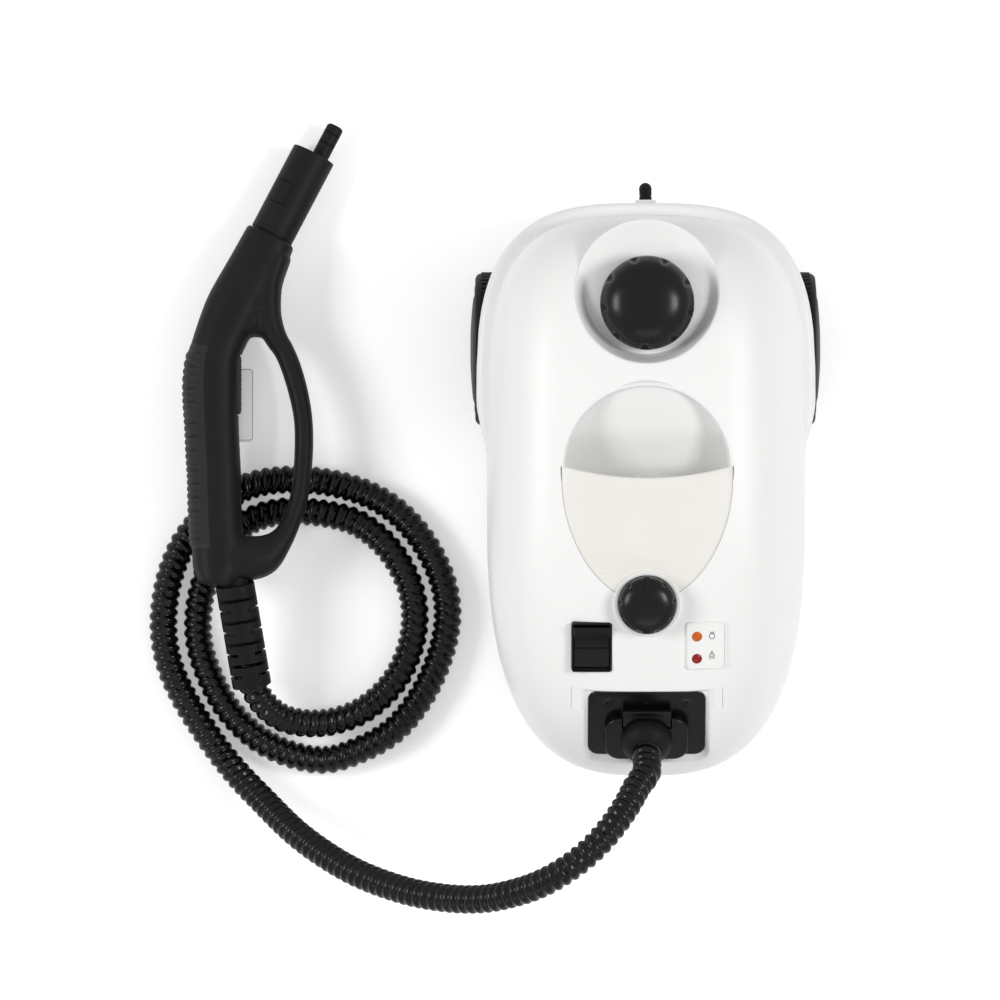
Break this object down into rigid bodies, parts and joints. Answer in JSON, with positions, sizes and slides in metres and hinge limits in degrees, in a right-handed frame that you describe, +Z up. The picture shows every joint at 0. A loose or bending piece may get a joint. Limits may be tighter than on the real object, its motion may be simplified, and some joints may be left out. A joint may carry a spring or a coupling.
{
  "type": "steam cleaner",
  "caption": "White canister steam cleaner on two wheels and a castor, with a filler cap, carry grip, controls, and a coiled black ribbed hose ending in a steam gun.",
  "frame": {"origin": "on the floor, at the middle of the box round the canister and the gun", "axes": "+Z up, +Y towards the canister's rear, +X from the gun towards the canister"},
  "size_m": [0.4218, 0.495, 0.2086],
  "materials": {
    "white_abs": "glossy moulded",
    "white_panel": "fine satin",
    "cream_grip": "fine ribbed satin",
    "black_gloss": "polished",
    "black_matte": "fine spark texture",
    "black_rubber": "soft",
    "grey_plastic": "textured",
    "steel": "plain",
    "brass": "turned",
    "copper": "drawn tube",
    "red_seal": "silicone",
    "amber_lens": "clear tinted",
    "red_lens": "clear tinted"
  },
  "bodies": {
    "casing": {"lower_body": "white_abs", "hood": "white_abs", "base_plate": "white_panel", "base_screws": "steel", "filler_dish": "white_abs", "hand_well": "white_abs", "grip_insert": "cream_grip", "knob_bezel": "white_abs", "regulator_valve": "brass", "switch_bezel": "black_gloss", "indicator_plate": "white_panel", "lens_amber": "amber_lens", "lens_red": "red_lens", "socket_surround": "white_abs", "socket_panel": "black_gloss", "socket_screws": "steel", "hose_plug": "black_gloss", "plug_boot": "black_rubber", "hose": "black_rubber", "hose_sleeve": "black_rubber", "gun_shell_upper": "black_matte", "gun_shell_lower": "black_matte", "gun_grip_pad": "black_rubber", "gun_screws": "steel", "nozzle_tube": "black_matte", "steam_pin": "black_matte", "pin_seals": "black_rubber", "trigger_switch": "grey_plastic", "label_plate": "white_panel", "boiler": "steel", "boiler_cradle": "grey_plastic", "heating_element": "steel", "thermostat": "grey_plastic", "solenoid_valve": "brass", "steam_pipe": "copper", "terminal_block": "white_panel", "filler_neck": "steel", "wheel_axles": "steel", "axle_clips": "steel", "castor_bush": "steel", "cord_gland": "black_rubber", "gland_collar": "white_abs"},
    "cap_lift": {"cap_seal": "red_seal"},
    "cap": {"boiler_cap": "black_gloss", "cap_plug": "grey_plastic"},
    "knob": {"pressure_knob": "black_gloss"},
    "rocker": {"switch_rocker": "black_gloss"},
    "latch": {"plug_latch": "black_gloss"},
    "trigger_lever": {"trigger": "grey_plastic", "trigger_spring": "steel"},
    "left_wheel_set": {"left_wheel": "grey_plastic", "left_tyre": "black_rubber"},
    "right_wheel_set": {"right_wheel": "grey_plastic", "right_tyre": "black_rubber"},
    "castor_frame": {"castor_fork": "grey_plastic", "castor_axle": "steel"},
    "castor_roller": {"castor_wheel": "black_rubber"}
  },
  "joints": [
    {"name": "cap_rise", "type": "slide", "parent": "casing", "child": "cap_lift", "axis": [0, 0, 1], "range_m": [0, 0.012]},
    {"name": "cap_turn", "type": "hinge", "parent": "cap_lift", "child": "cap", "pos_m": [0.09, 0.091, 0.178], "axis": [0, 0, 1], "range_deg": [0, 1080]},
    {"name": "knob_turn", "type": "hinge", "parent": "casing", "child": "knob", "pos_m": [0.09, -0.0955, 0.18289], "axis": [0, -0.1976, 0.9803], "range_deg": [-135, 135]},
    {"name": "rocker_tip", "type": "hinge", "parent": "casing", "child": "rocker", "pos_m": [0.0556, -0.12205, 0.17335], "axis": [1, 0, 0], "range_deg": [-14, 0]},
    {"name": "latch_press", "type": "slide", "parent": "casing", "child": "latch", "axis": [0, 0.6428, -0.766], "range_m": [0, 0.0018], "stiffness_N_per_m": 1500, "springref_m": -0.001},
    {"name": "trigger_pull", "type": "hinge", "parent": "casing", "child": "trigger_lever", "pos_m": [-0.16997, 0.05572, 0.02814], "axis": [0, -0.1045, -0.9945], "range_deg": [0, 7], "stiffness_Nm_per_rad": 1.5, "springref_deg": -8.59},
    {"name": "left_wheel_roll", "type": "hinge", "parent": "casing", "child": "left_wheel_set", "pos_m": [0.09, 0.0635, 0.0485], "axis": [1, 0, 0], "continuous": true},
    {"name": "right_wheel_roll", "type": "hinge", "parent": "casing", "child": "right_wheel_set", "pos_m": [0.09, 0.0635, 0.0485], "axis": [1, 0, 0], "continuous": true},
    {"name": "castor_swivel", "type": "hinge", "parent": "casing", "child": "castor_frame", "pos_m": [0.09, -0.1525, 0.04], "axis": [0, 0, 1], "continuous": true},
    {"name": "castor_roll", "type": "hinge", "parent": "castor_frame", "child": "castor_roller", "pos_m": [0.09, -0.1425, 0.014], "axis": [1, 0, 0], "continuous": true}
  ],
  "couplings": [
    {"joint": "cap_rise", "follows": "cap_turn", "m_per_rad": 0.00063662}
  ]
}
